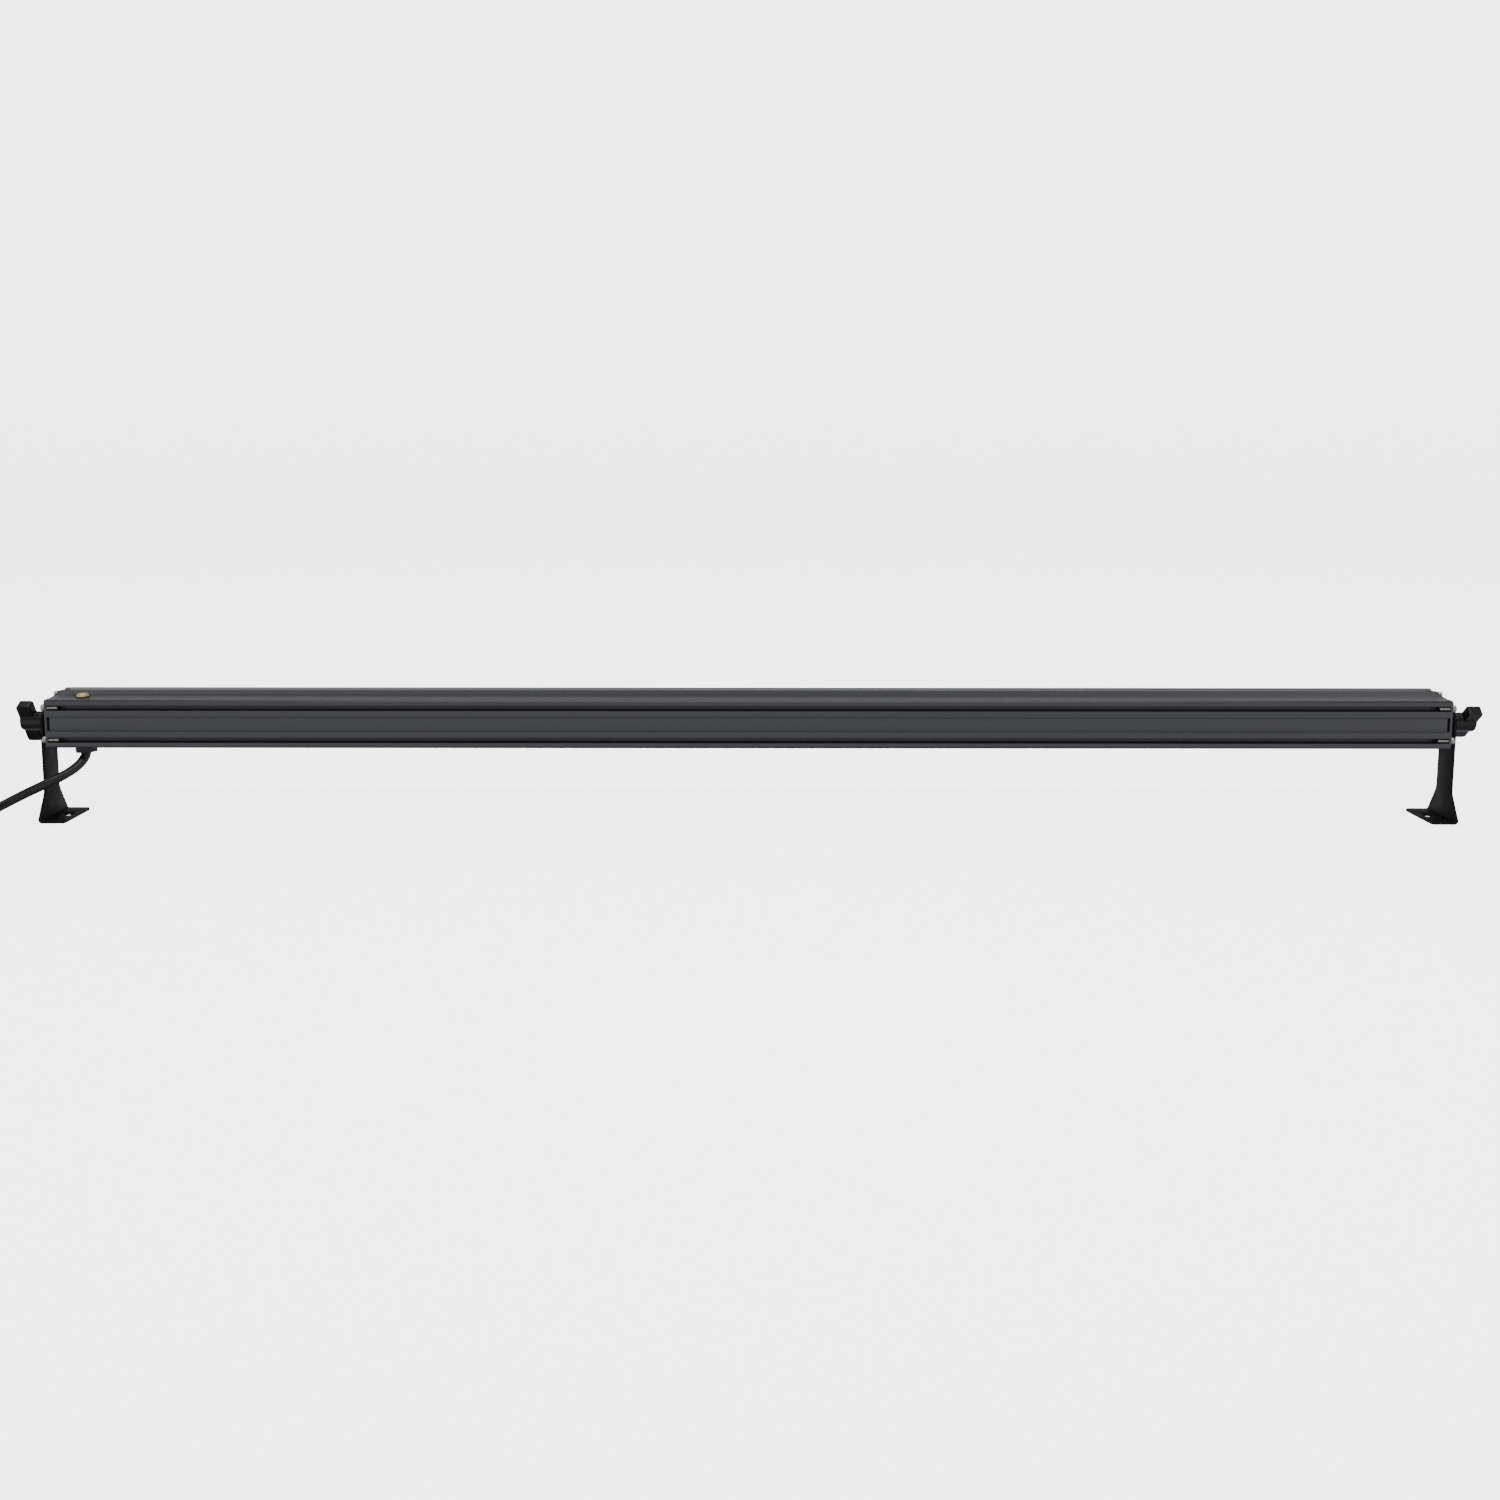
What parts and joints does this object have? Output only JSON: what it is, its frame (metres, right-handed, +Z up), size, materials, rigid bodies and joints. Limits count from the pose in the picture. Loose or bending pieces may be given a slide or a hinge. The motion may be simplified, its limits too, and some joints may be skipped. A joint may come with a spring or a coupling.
{
  "type": "led light bar",
  "caption": "Long single-row LED light bar in a black extruded housing, on two tilting L brackets clamped by wing knobs, with a sealed power lead and plug.",
  "frame": {"origin": "on the plane of both bracket feet, midway between the two foot holes", "axes": "+X along the bar away from the power lead, +Y towards the lens, +Z up"},
  "size_m": [1.4872, 0.1376, 0.1187],
  "materials": {
    "black_anodised": "satin black anodising over fine extrusion lines",
    "black_powder": "fine-texture black powder coat",
    "stainless": "bright stainless steel",
    "zinc_steel": "bright zinc plate",
    "brass": "machined brass",
    "knob_plastic": "satin moulded black nylon",
    "black_rubber": "matte black rubber",
    "grey_silicone": "matte dark silicone",
    "clear_lens": "clear hard-coated polycarbonate",
    "bright_reflector": "vacuum-metallised bright reflector",
    "white_board": "white solder mask on an aluminium core",
    "led_package": "yellow phosphor under a clear dome",
    "green_board": "green solder mask",
    "black_component": "moulded black epoxy",
    "capacitor_can": "sleeved aluminium can",
    "terminal_green": "moulded green nylon",
    "wire_insulation": "soft wire insulation",
    "cord_jacket": "matte black rubber jacket",
    "strap_fabric": "woven hook-and-loop strap",
    "connector_black": "moulded glass-filled nylon",
    "seal_orange": "orange silicone"
  },
  "bodies": {
    "bar": {"back_strip": "black_anodised", "bezel_screws": "stainless", "bottom_bezel_rail": "black_anodised", "coil_tie": "strap_fabric", "connector_boot": "cord_jacket", "connector_contacts": "brass", "connector_latch": "connector_black", "connector_seal": "seal_orange", "connector_shell": "connector_black", "cord_coil": "cord_jacket", "cord_lead": "cord_jacket", "cord_tail": "cord_jacket", "driver_board": "green_board", "driver_capacitors": "capacitor_can", "driver_chips": "black_component", "driver_inductors": "black_component", "driver_terminal_block": "terminal_green", "end_gaskets": "grey_silicone", "feed_wires": "wire_insulation", "gland_body": "knob_plastic", "gland_nut": "knob_plastic", "gland_seal": "black_rubber", "housing": "black_anodised", "inner_sheath": "cord_jacket", "led_board_1": "white_board", "led_board_2": "white_board", "led_board_3": "white_board", "led_board_4": "white_board", "led_emitters_1": "led_package", "led_emitters_2": "led_package", "led_emitters_3": "led_package", "led_emitters_4": "led_package", "left_end_plate": "black_anodised", "left_end_screws": "stainless", "lens": "clear_lens", "lens_gasket": "grey_silicone", "pivot_inserts": "brass", "reflector_1": "bright_reflector", "reflector_2": "bright_reflector", "reflector_3": "bright_reflector", "reflector_4": "bright_reflector", "reflector_screws": "stainless", "right_end_plate": "black_anodised", "right_end_screws": "stainless", "rubber_washers": "black_rubber", "supply_wires": "wire_insulation", "top_bezel_rail": "black_anodised", "vent_body": "brass", "vent_cap": "brass", "vent_nut": "brass", "vent_ring": "black_rubber"},
    "left_bracket": {"left_bracket": "black_powder"},
    "right_bracket": {"right_bracket": "black_powder"},
    "left_clamp_washer": {"left_clamp_washer": "zinc_steel"},
    "right_clamp_washer": {"right_clamp_washer": "zinc_steel"},
    "left_knob": {"left_knob": "knob_plastic", "left_knob_stud": "stainless"},
    "right_knob": {"right_knob": "knob_plastic", "right_knob_stud": "stainless"}
  },
  "joints": [
    {"name": "left_bracket_tilt", "type": "hinge", "parent": "bar", "child": "left_bracket", "pos_m": [-0.6503, 0, 0.091], "axis": [1, 0, 0], "range_deg": [-5, 90]},
    {"name": "left_clamp_slide", "type": "slide", "parent": "bar", "child": "left_clamp_washer", "axis": [-1, 0, 0], "range_m": [0, 0.0025]},
    {"name": "left_knob_turn", "type": "hinge", "parent": "left_clamp_washer", "child": "left_knob", "pos_m": [-0.665, 0, 0.091], "axis": [-1, 0, 0], "range_deg": [0, 721]},
    {"name": "right_bracket_tilt", "type": "hinge", "parent": "bar", "child": "right_bracket", "pos_m": [0.6503, 0, 0.091], "axis": [1, 0, 0], "range_deg": [-90, 90]},
    {"name": "right_clamp_slide", "type": "slide", "parent": "bar", "child": "right_clamp_washer", "axis": [1, 0, 0], "range_m": [0, 0.0025]},
    {"name": "right_knob_turn", "type": "hinge", "parent": "right_clamp_washer", "child": "right_knob", "pos_m": [0.665, 0, 0.091], "axis": [1, 0, 0], "range_deg": [0, 721]}
  ],
  "couplings": [
    {"joint": "left_knob_turn", "follows": "left_clamp_slide", "rad_per_m": 5026.5},
    {"joint": "right_knob_turn", "follows": "right_clamp_slide", "rad_per_m": 5026.5}
  ]
}
